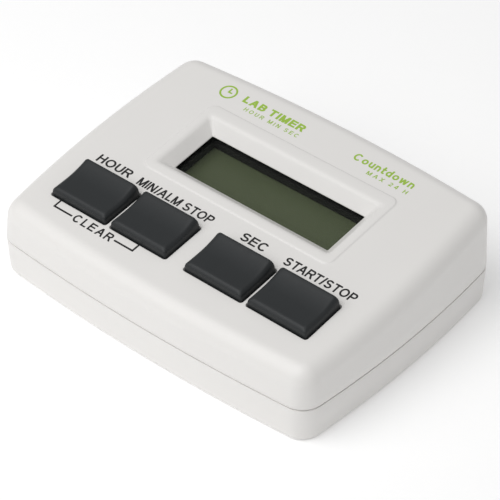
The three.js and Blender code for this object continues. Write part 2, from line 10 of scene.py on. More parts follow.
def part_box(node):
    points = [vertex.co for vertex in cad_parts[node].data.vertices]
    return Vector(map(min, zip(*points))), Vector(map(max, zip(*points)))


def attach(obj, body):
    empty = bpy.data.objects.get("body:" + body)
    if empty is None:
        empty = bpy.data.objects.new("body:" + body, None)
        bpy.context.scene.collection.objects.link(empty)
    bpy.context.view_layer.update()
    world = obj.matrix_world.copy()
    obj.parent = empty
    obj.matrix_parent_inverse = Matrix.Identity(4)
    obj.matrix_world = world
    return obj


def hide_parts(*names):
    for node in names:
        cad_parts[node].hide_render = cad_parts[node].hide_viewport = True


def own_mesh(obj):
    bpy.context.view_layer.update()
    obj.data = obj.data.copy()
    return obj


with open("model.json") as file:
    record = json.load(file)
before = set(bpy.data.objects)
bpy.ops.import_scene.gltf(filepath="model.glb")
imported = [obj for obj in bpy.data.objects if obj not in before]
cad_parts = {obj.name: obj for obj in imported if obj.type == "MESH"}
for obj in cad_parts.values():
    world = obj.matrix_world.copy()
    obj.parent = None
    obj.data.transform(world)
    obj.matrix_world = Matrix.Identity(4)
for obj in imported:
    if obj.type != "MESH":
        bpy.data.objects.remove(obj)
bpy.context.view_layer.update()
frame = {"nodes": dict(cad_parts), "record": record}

# ---------- driving dimensions, in millimetres, as the CAD has them ----------
MM = 0.001
SIDE_BOW = 2.0
FRONT_BOW = 1.9
CORNER_RADIUS = 4.6
DECK_MID_Z = 18.98
WALL = 2.0
CEILING = 1.8
TOP_FILLET = 3.62
TOP_DRAFT = 0.45
BOTTOM_FILLET = 1.0
BOTTOM_DRAFT = 0.3
SEAM_CHAMFER = 0.14
PARTING_Z = 7.85

FRAME_RISE = 0.21
FRAME_X, FRAME_FRONT, FRAME_BACK = 23.3, -3.5, 17.7
OPEN_X, OPEN_FRONT, OPEN_BACK = 19.08, 1.25, 12.3
WELL_DEPTH, WELL_SHEET, WELL_WALL = 2.26, 0.6, 2.7
WELL_SLOPE, WELL_ROUND = math.radians(45), 1.8

KEY_WIDTH, KEY_LENGTH, KEY_FRONT = 13.9, 9.85, -19.8
KEY_GAP, KEY_PAIR_GAP, KEY_CLEARANCE = 1.35, 4.7, 0.3
KEYS = ("hour", "minute", "second", "start")

DOME_BASE, DOME_HEIGHT, DOME_PRESS = -9.25, 3.0, 0.79
DOOR_HALF, DOOR_FRONT, DOOR_TOP, DOOR_GAP = 22.9, 15.7, 5.6, 0.3
PILLARS = ((-33.2, -23.5), (33.2, -23.5), (-33.2, 23.5), (33.2, 23.5))
PILLAR_RADIUS, COUNTERBORE_RADIUS, SCREW_HOLE_RADIUS = 3.0, 2.4, 1.2
PIEZO_X, PIEZO_Y = -15.0, -5.0
SOUND_HOLE_RADIUS, SOUND_CIRCLE = 0.8, 3.6
# Each rib round the cell: x from and to, y from and to, z from and to.
BAY_RIBS = (
    (-26.8, 26.8, 14.4, 15.4, 1.9, 5.6), (-26.8, -25.8, 14.4, 27.4, 3.5, 7.6),
    (23.15, 24.15, 14.4, 27.4, 3.5, 7.6),
)
GRIP_HALF, GRIP_WIDTH, GRIP_DEPTH, GRIPS = 6, 0.7, 0.4, (18.5, 20.0, 21.5)

BODY = "case"
HALF_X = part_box("top_case")[1][0] / MM
HALF_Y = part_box("top_case")[1][1] / MM
SEAM_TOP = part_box("top_case")[0][2] / MM
SEAM_UNDER = 2 * PARTING_Z - SEAM_TOP

press = next(j for j in frame["record"]["behaviour"]["joints"] if j["name"] == "hour_key_press")
DECK_TILT = math.atan2(press["axis"][1], -press["axis"][2])
DECK = Matrix.Translation((0, 0, DECK_MID_Z)) @ Matrix.Rotation(DECK_TILT, 4, "X")


def key_centres():
    near = KEY_PAIR_GAP / 2 + KEY_WIDTH / 2
    far = near + KEY_WIDTH + KEY_GAP
    return (-far, -near, near, far)


# ---------- materials ----------
def node_tree(name):
    material = bpy.data.materials.new(name)
    material.use_nodes = True
    nodes, links = material.node_tree.nodes, material.node_tree.links
    return material, nodes, links, nodes["Principled BSDF"]


def noise(nodes, links, per_mm, detail=3.0):
    where = nodes.new("ShaderNodeTexCoord")
    texture = nodes.new("ShaderNodeTexNoise")
    texture.inputs["Scale"].default_value = per_mm / MM
    texture.inputs["Detail"].default_value = detail
    links.new(where.outputs["Object"], texture.inputs["Vector"])
    return texture


def remap(nodes, links, source, low, high):
    ramp = nodes.new("ShaderNodeMapRange")
    ramp.inputs["From Min"].default_value = 0.3
    ramp.inputs["From Max"].default_value = 0.7
    ramp.inputs["To Min"].default_value = low
    ramp.inputs["To Max"].default_value = high
    links.new(source, ramp.inputs["Value"])
    return ramp.outputs["Result"]


def tinted(nodes, links, source, colour, spread):
    mix = nodes.new("ShaderNodeMix")
    mix.data_type = "RGBA"
    mix.inputs["A"].default_value = (*[c * (1 - spread) for c in colour], 1)
    mix.inputs["B"].default_value = (*[min(1, c * (1 + spread)) for c in colour], 1)
    links.new(source, mix.inputs["Factor"])
    return mix.outputs["Result"]


def moulded(name, colour, rough, grain=5.0, depth=0.004, spread=0.02, specular=0.5, metallic=0.0):
    """Moulded or rolled surface: fine grain in the bump, slow drift in colour and gloss."""
    material, nodes, links, shader = node_tree(name)
    shader.inputs["Specular IOR Level"].default_value = specular
    shader.inputs["Metallic"].default_value = metallic
    drift = noise(nodes, links, 0.09, 4.0).outputs["Fac"]
    fine = noise(nodes, links, grain, 2.0).outputs["Fac"]
    links.new(tinted(nodes, links, drift, colour, spread), shader.inputs["Base Color"])
    gloss = noise(nodes, links, 0.6, 3.0).outputs["Fac"]
    links.new(remap(nodes, links, gloss, rough - 0.04, rough + 0.04), shader.inputs["Roughness"])
    bump = nodes.new("ShaderNodeBump")
    bump.inputs["Strength"].default_value = 0.35
    bump.inputs["Distance"].default_value = depth * MM
    links.new(fine, bump.inputs["Height"])
    links.new(bump.outputs["Normal"], shader.inputs["Normal"])
    return material


def display_material():
    """Olive reflector behind liquid-crystal glass, with a faint mottle."""
    material, nodes, links, shader = node_tree("display_olive")
    mottle = noise(nodes, links, 0.5, 5.0).outputs["Fac"]
    colour = tinted(nodes, links, mottle, (0.085, 0.103, 0.056), 0.02)
    links.new(colour, shader.inputs["Base Color"])
    links.new(remap(nodes, links, mottle, 0.33, 0.35), shader.inputs["Roughness"])
    shader.inputs["Specular IOR Level"].default_value = 0.2
    return material


def lens_material():
    """A clear, slightly hazy window: mostly see-through, with a faint gloss."""
    material, nodes, links, shader = node_tree("clear_lens")
    shader.inputs["Base Color"].default_value = (0.1, 0.11, 0.1, 1)
    shader.inputs["Specular IOR Level"].default_value = 0.4
    haze = noise(nodes, links, 0.8, 3.0).outputs["Fac"]
    links.new(remap(nodes, links, haze, 0.16, 0.24), shader.inputs["Roughness"])
    links.new(remap(nodes, links, haze, 0.03, 0.05), shader.inputs["Alpha"])
    return material


WHITE = moulded("case_white", (0.80, 0.785, 0.765), 0.36, grain=4.0, depth=0.005, spread=0.012)
CHARCOAL = moulded(
    "key_charcoal", (0.023, 0.0255, 0.027), 0.45, grain=6.0, depth=0.006, spread=0.05, specular=0.3
)
BLACK = moulded("black_plastic", (0.006, 0.006, 0.006), 0.6, spread=0.1)
OLIVE = display_material()
LENS = lens_material()
BLACK_RUBBER = moulded("black_rubber", (0.02, 0.02, 0.02), 0.8, grain=8.0, spread=0.1)
GREY_RUBBER = moulded("grey_rubber", (0.42, 0.43, 0.44), 0.65, grain=8.0, spread=0.04)
BOARD = moulded("board_green", (0.025, 0.16, 0.05), 0.4, grain=2.0, spread=0.12)
EPOXY = moulded("black_epoxy", (0.012, 0.012, 0.013), 0.25, spread=0.1)
STEEL = moulded("steel", (0.62, 0.62, 0.63), 0.3, grain=9.0, spread=0.05, metallic=1.0)
BRASS = moulded("brass", (0.72, 0.52, 0.22), 0.32, grain=9.0, spread=0.06, metallic=1.0)
LABEL = moulded("cell_label", (0.06, 0.09, 0.14), 0.35, spread=0.05)
RED_WIRE = moulded("red_wire", (0.45, 0.03, 0.025), 0.45, spread=0.05)
BLACK_WIRE = moulded("black_wire", (0.015, 0.015, 0.015), 0.45, spread=0.05)
INK_BLACK = moulded("ink_black", (0.006, 0.006, 0.006), 0.5, grain=12.0, spread=0.1)
INK_GREEN = moulded("ink_green", (0.33, 0.52, 0.06), 0.5, grain=12.0, spread=0.06)

BY_SLOT = {
    "case_white": WHITE, "key_charcoal": CHARCOAL, "black_plastic": BLACK, "clear_lens": LENS,
    "display_olive": OLIVE, "black_rubber": BLACK_RUBBER, "grey_rubber": GREY_RUBBER,
    "board_green": BOARD, "black_epoxy": EPOXY, "steel": STEEL, "brass": BRASS,
    "cell_label": LABEL, "red_wire": RED_WIRE, "black_wire": BLACK_WIRE,
}

for part in frame["record"]["subparts"]:
    node = frame["nodes"][part["node"]]
    node.data.materials.clear()
    node.data.materials.append(BY_SLOT[part["material_slot"]])


# ---------- mesh building ----------
class Builder:
    """Collects rings of points, in millimetres, and turns them into one piece, in metres."""

    def __init__(self, matrix=None):
        self.bm = bmesh.new()
        self.matrix = matrix or Matrix()

    def ring(self, points):
        return [self.bm.verts.new(self.matrix @ Vector(point)) for point in points]

    def bridge(self, one, two):
        for i, start in enumerate(one):
            after = (i + 1) % len(one)
            self.bm.faces.new((start, one[after], two[after], two[i]))

    def loft(self, rings):
        """Bridges rings of points in turn and returns the rings of vertices."""
        made = [self.ring(points) for points in rings]
        for one, two in zip(made, made[1:]):
            self.bridge(one, two)
        return made

    def fill(self, *rings):
        """Fills the flat area bounded by an outer ring and any rings of holes."""
        edges = []
        for ring in rings:
            for i, start in enumerate(ring):
                after = ring[(i + 1) % len(ring)]
                edges.append(self.bm.edges.get((start, after)) or self.bm.edges.new((start, after)))
        bmesh.ops.triangle_fill(self.bm, use_beauty=True, use_dissolve=False, edges=edges)

    def cap(self, ring):
        self.bm.faces.new(ring)

    def piece(self, name, material, smooth_deg=35.0):
        bmesh.ops.recalc_face_normals(self.bm, faces=self.bm.faces)
        bmesh.ops.scale(self.bm, vec=(MM, MM, MM), verts=self.bm.verts)
        mesh = bpy.data.meshes.new(name)
        self.bm.to_mesh(mesh)
        self.bm.free()
        mesh.materials.append(material)
        mesh.shade_smooth()
        mesh.set_sharp_from_angle(angle=math.radians(smooth_deg))
        made = bpy.data.objects.new(name, mesh)
        bpy.context.scene.collection.objects.link(made)
        return made


def modified(piece, modifier):
    """Applies the modifier that was just added to the piece."""
    graph = bpy.context.evaluated_depsgraph_get()
    mesh = bpy.data.meshes.new_from_object(piece.evaluated_get(graph))
    piece.modifiers.remove(modifier)
    mesh.name = piece.name
    piece.data = mesh
    return piece


def boolean(piece, cutter, operation):
    modifier = piece.modifiers.new("join", "BOOLEAN")
    modifier.operation = operation
    modifier.solver = "EXACT"
    modifier.object = cutter
    modified(piece, modifier)
    bpy.data.objects.remove(cutter, do_unlink=True)
    return piece


def resharpen(piece, smooth_deg):
    piece.data.shade_smooth()
    piece.data.set_sharp_from_angle(angle=math.radians(smooth_deg))


def rounded_loop(x0, x1, y0, y1, radius, z, corner_steps=8, side_steps=1, end_steps=1):
    """A rounded rectangle, anticlockwise from the front edge's left end."""
    corners = (
        (x0 + radius, y0 + radius, math.pi, side_steps),
        (x1 - radius, y0 + radius, -math.pi / 2, end_steps),
        (x1 - radius, y1 - radius, 0.0, side_steps),
        (x0 + radius, y1 - radius, math.pi / 2, end_steps),
    )
    points = []
    for i, (cx, cy, start, steps) in enumerate(corners):
        for step in range(corner_steps + 1):
            angle = start + math.pi / 2 * step / corner_steps
            points.append(Vector((cx + radius * math.cos(angle), cy + radius * math.sin(angle), z)))
        nx, ny, next_start, _ = corners[(i + 1) % 4]
        leaving = points[-1]
        arriving = Vector((nx + radius * math.cos(next_start), ny + radius * math.sin(next_start), z))
        straight = end_steps if i % 2 == 0 else side_steps
        for step in range(1, straight):
            points.append(leaving.lerp(arriving, step / straight))
    return points


def round_loop(cx, cy, radius, z, sides=32):
    turn = 2 * math.pi / sides
    return [
        (cx + radius * math.cos(turn * i), cy + radius * math.sin(turn * i), z) for i in range(sides)
    ]


# ---------- the bowed plan outline ----------
def bowed_outline(side_steps=28, front_steps=36, corner_steps=16):
    """Points and outward normals: parabolic sides joined by arcs tangent to them."""
    def side_x(y):
        return HALF_X - CORNER_RADIUS - SIDE_BOW * (y / HALF_Y) ** 2

    def back_y(x):
        return HALF_Y - CORNER_RADIUS - FRONT_BOW * (x / HALF_X) ** 2

    corner_x, corner_y = HALF_X - CORNER_RADIUS, HALF_Y - CORNER_RADIUS
    for _ in range(30):
        corner_x, corner_y = side_x(corner_y), back_y(corner_x)

    def station(x, y, angle):
        normal = Vector((math.cos(angle), math.sin(angle)))
        return Vector((x, y)) + CORNER_RADIUS * normal, normal

    def side_angle(y):
        return math.atan2(2 * SIDE_BOW * y / HALF_Y ** 2, 1)

    def back_angle(x):
        return math.atan2(1, 2 * FRONT_BOW * x / HALF_X ** 2)

    half = []
    for i in range(side_steps + 1):
        y = corner_y * (2 * i / side_steps - 1)
        half.append(station(side_x(y), y, side_angle(y)))
    first, last = side_angle(corner_y), back_angle(corner_x)
    for i in range(1, corner_steps):
        half.append(station(corner_x, corner_y, first + (last - first) * i / corner_steps))
    for i in range(front_steps + 1):
        x = corner_x * (1 - 2 * i / front_steps)
        half.append(station(x, back_y(x), back_angle(x)))
    for i in range(1, corner_steps):
        angle = math.pi - last + (last - first) * i / corner_steps
        half.append(station(-corner_x, corner_y, angle))
    return half + [(-point, -normal) for point, normal in half]


OUTLINE = bowed_outline()


def deck_height(y, below=0.0):
    return DECK_MID_Z - below + y * math.tan(DECK_TILT)


def outline_ring(inset, height):
    """The outline drawn in by inset; height is a number or a function of y."""
    points = []
    for point, normal in OUTLINE:
        x, y = point - normal * inset
        points.append((x, y, height(y) if callable(height) else height))
    return points


def quarter(steps, radius):
    """(inward, along) of a quarter round, from the wall to the flat."""
    angles = [math.pi / 2 * i / steps for i in range(steps + 1)]
    return [(radius * (1 - math.cos(a)), radius * math.sin(a)) for a in angles]


# ---------- top case ----------
def frame_loop(grow, z, radius):
    return rounded_loop(
        -FRAME_X - grow, FRAME_X + grow, FRAME_FRONT - grow, FRAME_BACK + grow, radius, z
    )


def opening_loop(grow, z, radius):
    return rounded_loop(
        -OPEN_X - grow, OPEN_X + grow, OPEN_FRONT - grow, OPEN_BACK + grow, radius, z
    )


def key_hole_loop(centre, grow, z):
    x = KEY_WIDTH / 2 + KEY_CLEARANCE + grow
    front = KEY_FRONT - KEY_CLEARANCE - grow
    back = KEY_FRONT + KEY_LENGTH + KEY_CLEARANCE + grow
    return rounded_loop(centre - x, centre + x, front, back, 0.6 + grow, z)


# How far each ring of the raised frame's edge stands out, its height and its corner radius.
FRAME_EDGE = (
    (0.7, 0.0, 2.4), (0.24, 0.0, 1.9), (0.11, 0.01, 1.8), (0.02, 0.045, 1.7),
    (-0.11, 0.145, 1.6), (-0.19, 0.19, 1.5), (-0.30, FRAME_RISE, 1.4),
)
OPEN_CORNER, OPEN_UNDERCUT = 0.25, 0.45
EDGE_RINGS = (0.12, 0.04)


def window_profile():
    """Rings from the deck, over the raised frame, down the well and through its floor."""
    rings = [frame_loop(*level) for level in FRAME_EDGE]
    # A soft round leads from the frame's flat top into the well's sloping wall.
    curve_drop = WELL_ROUND * (1 - math.cos(WELL_SLOPE))
    straight_drop = FRAME_RISE - curve_drop + WELL_DEPTH
    run = straight_drop / math.tan(WELL_SLOPE) + WELL_ROUND * math.sin(WELL_SLOPE)
    steps = 9
    for i in range(steps + 1):
        turn = WELL_SLOPE * i / steps
        grow = run - WELL_ROUND * math.sin(turn)
        drop = WELL_ROUND * (1 - math.cos(turn))
        rings.append(opening_loop(grow, FRAME_RISE - drop, OPEN_CORNER + 0.3 * grow))
    # Close rings keep the opening's edge crisp, and the undercut below makes it look thin.
    rings += [
        opening_loop(lift / math.tan(WELL_SLOPE), lift - WELL_DEPTH, OPEN_CORNER)
        for lift in EDGE_RINGS
    ]
    rings += [opening_loop(0.0, -drop - WELL_DEPTH, OPEN_CORNER) for drop in reversed(EDGE_RINGS)]
    rings.append(opening_loop(OPEN_UNDERCUT, -WELL_SHEET - WELL_DEPTH, OPEN_CORNER))
    return rings


def top_case():
    shell = Builder()
    outer = [
        outline_ring(SEAM_CHAMFER, SEAM_TOP),
        outline_ring(SEAM_CHAMFER * 0.35, SEAM_TOP + SEAM_CHAMFER * 0.35),
        outline_ring(0.012, SEAM_TOP + SEAM_CHAMFER),
    ]
    for i in (0.34, 0.67):
        base = SEAM_TOP + SEAM_CHAMFER
        outer.append(outline_ring(
            TOP_DRAFT * i,
            lambda y, i=i: base + (deck_height(y, TOP_FILLET) - base) * i,
        ))
    for inward, along in quarter(14, TOP_FILLET):
        below = TOP_FILLET - along
        outer.append(outline_ring(TOP_DRAFT + inward, lambda y, b=below: deck_height(y, b)))
    outer.append(outline_ring(TOP_DRAFT + TOP_FILLET + 0.3, deck_height))
    outer_rings = shell.loft(outer)

    inner = [outline_ring(WALL, SEAM_TOP)]
    for inward, along in quarter(3, TOP_FILLET - WALL):
        below = CEILING + TOP_FILLET - WALL - along
        inner.append(outline_ring(WALL + TOP_DRAFT + inward, lambda y, b=below: deck_height(y, b)))
    inner_rings = shell.loft(inner)
    shell.bridge(outer_rings[0], inner_rings[0])

    shell.matrix = DECK
    window = shell.loft(window_profile())
    under = -WELL_DEPTH - WELL_SHEET
    well = shell.loft([opening_loop(WELL_WALL, z, 1.0) for z in (-CEILING, under)])
    shell.bridge(window[-1], well[-1])

    outer_holes, inner_holes = [], []
    for centre in key_centres():
        hole = shell.loft([
            key_hole_loop(centre, 0.3, 0.0),
            key_hole_loop(centre, 0.14, 0.0),
            key_hole_loop(centre, 0.04, -0.04),
            key_hole_loop(centre, 0.0, -0.15),
            key_hole_loop(centre, 0.0, -CEILING),
        ])
        outer_holes.append(hole[0])
        inner_holes.append(hole[-1])
    shell.fill(outer_rings[-1], window[0], *outer_holes)
    shell.fill(inner_rings[-1], well[0], *inner_holes)
    made = shell.piece("top_shell", WHITE)
    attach(made, BODY)
    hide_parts("top_case")


# ---------- bottom case and battery door ----------
def bottom_solid(name):
    shell = Builder()
    outer = [outline_ring(BOTTOM_DRAFT + BOTTOM_FILLET + 0.3, 0.0)]
    for inward, along in reversed(quarter(8, BOTTOM_FILLET)):
        outer.append(outline_ring(BOTTOM_DRAFT + inward, BOTTOM_FILLET - along))
    outer += [
        outline_ring(BOTTOM_DRAFT * 0.5, (BOTTOM_FILLET + SEAM_UNDER) / 2),
        outline_ring(0.012, SEAM_UNDER - SEAM_CHAMFER),
        outline_ring(SEAM_CHAMFER * 0.35, SEAM_UNDER - SEAM_CHAMFER * 0.35),
        outline_ring(SEAM_CHAMFER, SEAM_UNDER),
        outline_ring(WALL, SEAM_UNDER),
        outline_ring(WALL, WALL + 0.8),
        outline_ring(WALL + 0.6, WALL),
    ]
    rings = shell.loft(outer)
    shell.fill(rings[0])
    shell.fill(rings[-1])
    return shell.piece(name, WHITE)


def block(x0, x1, y0, y1, z0, z1):
    solid = Builder()
    corners = ((x0, y0), (x1, y0), (x1, y1), (x0, y1))
    low, high = solid.loft([[(x, y, z) for x, y in corners] for z in (z0, z1)])
    solid.cap(low)
    solid.cap(high)
    return solid.piece("cutter", WHITE)


def cylinder(cx, cy, radius, z0, z1, sides=40):
    solid = Builder()
    low, high = solid.loft([round_loop(cx, cy, radius, z, sides) for z in (z0, z1)])
    solid.cap(low)
    solid.cap(high)
    return solid.piece("cutter", WHITE)


def bottom_case():
    tray = bottom_solid("bottom_shell")
    boolean(tray, block(-DOOR_HALF, DOOR_HALF, DOOR_FRONT, 40, -1, DOOR_TOP), "DIFFERENCE")
    for x, y in PILLARS:
        boolean(tray, cylinder(x, y, PILLAR_RADIUS, WALL - 0.5, SEAM_UNDER - 0.2), "UNION")
        boolean(tray, cylinder(x, y, COUNTERBORE_RADIUS, -1, 4), "DIFFERENCE")
        boolean(tray, cylinder(x, y, SCREW_HOLE_RADIUS, 3, 9), "DIFFERENCE")
    for i in range(7):
        reach = SOUND_CIRCLE if i else 0.0
        hole_x = PIEZO_X + reach * math.cos(math.pi * i / 3)
        hole_y = PIEZO_Y + reach * math.sin(math.pi * i / 3)
        boolean(tray, cylinder(hole_x, hole_y, SOUND_HOLE_RADIUS, -1, WALL + 1, 24), "DIFFERENCE")
    for rib in BAY_RIBS:
        boolean(tray, block(*rib), "UNION")
    resharpen(tray, 30)
    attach(tray, BODY)
    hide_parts("bottom_case")


def battery_door():
    """The door's visible panel, without the CAD door's two tongues."""
    door = bottom_solid("door_panel")
    reach = DOOR_HALF - DOOR_GAP
    front = DOOR_FRONT + DOOR_GAP
    boolean(door, block(-reach, reach, front, 40, -1, DOOR_TOP - DOOR_GAP), "INTERSECT")
    for y in GRIPS:
        boolean(door, block(-GRIP_HALF, GRIP_HALF, y, y + GRIP_WIDTH, -1, GRIP_DEPTH), "DIFFERENCE")
    modifier = door.modifiers.new("edge", "BEVEL")
    modifier.width = 0.12 * MM
    modifier.segments = 2
    modifier.limit_method = "ANGLE"
    modifier.angle_limit = math.radians(50)
    modified(door, modifier)
    resharpen(door, 40)
    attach(door, "door")
    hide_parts("battery_door")


# ---------- keys and keypad domes ----------
def key_top(along):
    """Height of the scooped top at a distance from the key's front edge."""
    lowest_at = 4.2
    rise = 0.010 if along < lowest_at else 0.038
    return 1.66 + rise * (along - lowest_at) ** 2


# Draws in from the sides, the front and the back, and the part of the top's height reached there.
KEY_LEVELS = (
    (0.05, 0.04, 0.05, 0.45), (0.12, 0.10, 0.10, 0.62), (0.24, 0.22, 0.16, 0.73),
    (0.50, 0.48, 0.28, 0.865), (0.66, 0.64, 0.38, 0.935), (0.84, 0.82, 0.54, 0.98),
    (1.05, 1.05, 0.80, 1.0),
)


def key_loop(side, front, back, radius, height):
    """height is a number, or a part of the top's height as a function of y."""
    half = KEY_WIDTH / 2 - side
    loop = rounded_loop(
        -half, half, front - KEY_LENGTH / 2, KEY_LENGTH / 2 - back, radius, 0,
        corner_steps=6, side_steps=18, end_steps=12,
    )
    for point in loop:
        point.z = height(point.y) if callable(height) else height
    return loop


def key_cap(name, centre):
    middle = KEY_FRONT + KEY_LENGTH / 2
    cap = Builder(DECK @ Matrix.Translation((centre, middle, 0)))
    ceiling = -CEILING - 0.25
    plunger_side, plunger_end = KEY_WIDTH / 2 - 3, KEY_LENGTH / 2 - 3
    rings = [
        key_loop(plunger_side, plunger_end, plunger_end, 0.5, DOME_BASE + DOME_HEIGHT + 0.25),
        key_loop(plunger_side, plunger_end, plunger_end, 0.5, ceiling - 1),
        key_loop(-0.5, -1.0, -1.0, 0.4, ceiling - 1),
        key_loop(-0.5, -1.0, -1.0, 0.4, ceiling),
        key_loop(0, 0, 0, 0.3, ceiling),
        key_loop(0, 0, 0, 0.3, 0.0),
    ]
    for i, (side, front, back, part) in enumerate(KEY_LEVELS):
        rings.append(key_loop(
            side, front, back, 0.34 + 0.07 * i,
            lambda y, part=part: part * key_top(y + KEY_LENGTH / 2),
        ))
    side, front, back, _ = KEY_LEVELS[-1]
    inside = KEY_LENGTH - front - back
    for share in (0.12, 0.3, 0.5, 0.7, 0.88, 0.985):
        draw = inside / 2 * share
        rings.append(key_loop(
            side + draw, front + draw, back + draw, 0.9 * (1 - share) + 0.02,
            lambda y: key_top(y + KEY_LENGTH / 2),
        ))
    made = cap.loft(rings)
    cap.cap(made[0])
    cap.fill(made[-1])
    piece = cap.piece(f"{name}_key_cap", CHARCOAL, smooth_deg=50)
    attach(piece, f"{name}_key")
    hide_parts(f"key_{name}")


def keypad_dome(name, centre):
    middle = KEY_FRONT + KEY_LENGTH / 2
    dome = Builder(DECK @ Matrix.Translation((centre, middle, DOME_BASE)))
    profile = (
        (0.4, 2.0), (1.9, 2.0), (2.3, 1.3), (2.9, 0.4), (2.9, 0.0), (3.7, 0.0), (3.7, 1.0),
        (3.3, 1.5), (2.9, 2.5), (2.6, 2.9), (2.3, DOME_HEIGHT), (0.4, DOME_HEIGHT),
    )
    rings = dome.loft([round_loop(0, 0, radius, height, 36) for radius, height in profile])
    dome.cap(rings[0])
    dome.cap(rings[-1])
    piece = dome.piece(f"{name}_dome", GREY_RUBBER, smooth_deg=50)
    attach(piece, BODY)
    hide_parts(f"keypad_dome_{name}")
    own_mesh(piece)


# ---------- print on the deck ----------
INK_LIFT, INK_THICKNESS = 0.003, 0.017


class Pen:
    """Draws one letter of a plain sans-serif: capitals are 1 high, and every line is w thick."""

    def __init__(self, width, weight):
        self.width, self.w = width, weight
        self.left, self.right = weight / 2, width - weight / 2
        self.low, self.high = weight / 2, 1 - weight / 2
        self.shapes = []

    def rect(self, x0, x1, y0, y1):
        self.shapes.append([(x0, y0), (x1, y0), (x1, y1), (x0, y1)])

    def stem(self, x, y0=0.0, y1=1.0):
        self.rect(x - self.w / 2, x + self.w / 2, y0, y1)

    def bar(self, y, x0=0.0, x1=None):
        x1 = self.width if x1 is None else x1
        self.rect(x0, x1, y - self.w * 0.45, y + self.w * 0.45)

    def slant(self, x0, y0, x1, y1):
        """A sloping line with level ends."""
        half = self.w / 2 * math.hypot(x1 - x0, y1 - y0) / abs(y1 - y0)
        self.shapes.append([(x0 - half, y0), (x0 + half, y0), (x1 + half, y1), (x1 - half, y1)])

    def arc(self, cx, cy, rx, ry, first, last, steps=20):
        """Part of an oval line, from one angle to another in degrees, as short pieces."""
        def at(share, side):
            angle = math.radians(first + (last - first) * share)
            out_x, out_y = rx + side * self.w / 2, ry + side * self.w * 0.46
            return cx + out_x * math.cos(angle), cy + out_y * math.sin(angle)
        halves = max(1, round(abs(last - first) / 180))
        for part in range(halves):
            shares = [(part + i / steps) / halves for i in range(steps + 1)]
            outer = [at(share, 1) for share in shares]
            self.shapes.append(outer + [at(share, -1) for share in reversed(shares)])

    def bowl(self, y0, y1, x0, x1):
        """Two bars joined by a half oval on the right."""
        ry = (y1 - y0) / 2
        rx = min(ry, x1 - x0)
        self.bar(y0, x0, x1 - rx)
        self.bar(y1, x0, x1 - rx)
        self.arc(x1 - rx, (y0 + y1) / 2, rx, ry, -90, 90)


def draw_a(p):
    p.slant(p.left * 1.05, 0, p.width / 2, 1)
    p.slant(p.width - p.left * 1.05, 0, p.width / 2, 1)
    p.bar(0.34, p.width * 0.22, p.width * 0.78)


def draw_b(p):
    p.stem(p.left)
    p.bowl(0.53, p.high, p.left, p.right * 0.95)
    p.bowl(p.low, 0.53, p.left, p.right)


def draw_c(p):
    p.arc(p.width / 2, 0.5, p.right - p.width / 2, p.high - 0.49, 42, 318)


def draw_e(p):
    p.stem(p.left)
    p.bar(p.low)
    p.bar(p.high)
    p.bar(0.52, 0, p.width * 0.94)


def draw_h(p):
    p.stem(p.left)
    p.stem(p.right)
    p.bar(0.53)


def draw_i(p):
    p.stem(p.left)


def draw_l(p):
    p.stem(p.left)
    p.bar(p.low)


def draw_m(p):
    p.stem(p.left)
    p.stem(p.right)
    p.slant(p.left * 1.2, 1, p.width / 2, 0)
    p.slant(p.width - p.left * 1.2, 1, p.width / 2, 0)


def draw_n(p):
    p.stem(p.left)
    p.stem(p.right)
    p.slant(p.left * 1.2, 1, p.width - p.left * 1.2, 0)


def draw_o(p):
    p.arc(p.width / 2, 0.5, p.right - p.width / 2, p.high - 0.49, 0, 360)


def draw_p(p):
    p.stem(p.left)
    p.bowl(0.46, p.high, p.left, p.right)


def draw_r(p):
    p.stem(p.left)
    p.bowl(0.49, p.high, p.left, p.right * 0.93)
    p.slant(p.width * 0.55, 0.49, p.right * 0.98, 0)


def draw_s(p):
    middle, reach = 0.515, p.right - p.width / 2
    p.arc(p.width / 2, (middle + p.high) / 2, reach * 0.94, (p.high - middle) / 2, 22, 270)
    p.arc(p.width / 2, (middle + p.low) / 2, reach, (middle - p.low) / 2, 90, -160)


def draw_t(p):
    p.bar(p.high)
    p.stem(p.width / 2)


def draw_u(p):
    turn = 0.38
    p.stem(p.left, turn)
    p.stem(p.right, turn)
    p.arc(p.width / 2, turn, p.right - p.width / 2, turn - p.low, 180, 360)


def draw_x(p):
    p.slant(p.left * 1.2, 1, p.width - p.left * 1.2, 0)
    p.slant(p.width - p.left * 1.2, 1, p.left * 1.2, 0)


def draw_slash(p):
    p.slant(p.left, 0, p.right, 1)


def draw_2(p):
    p.bar(p.low)
    p.arc(p.width / 2, 0.68, p.right - p.width / 2, p.high - 0.68, -30, 165)
    p.slant(p.left * 1.2, p.w * 0.9, p.right * 0.95, 0.56)


def draw_4(p):
    p.stem(p.width * 0.72)
    p.bar(0.28)
    p.slant(p.left * 1.1, 0.28, p.width * 0.66, 1)


X_HEIGHT = 0.74


def small_ring(p):
    p.arc(p.width / 2, X_HEIGHT / 2, p.right - p.width / 2, X_HEIGHT / 2 - p.low, 0, 360)


def draw_small_d(p):
    small_ring(p)
    p.stem(p.right)


def draw_small_n(p):
    turn = X_HEIGHT * 0.55
    p.stem(p.left, 0, X_HEIGHT)
    p.stem(p.right, 0, turn)
    p.arc(p.width / 2, turn, p.right - p.width / 2, X_HEIGHT - p.low - turn, 0, 180)


def draw_small_u(p):
    turn = X_HEIGHT * 0.45
    p.stem(p.right, 0, X_HEIGHT)
    p.stem(p.left, turn, X_HEIGHT)
    p.arc(p.width / 2, turn, p.right - p.width / 2, turn - p.low, 180, 360)


def draw_small_t(p):
    p.stem(p.width * 0.4, p.w * 0.4)
    p.bar(X_HEIGHT - p.low)
    p.bar(p.low, p.width * 0.4)


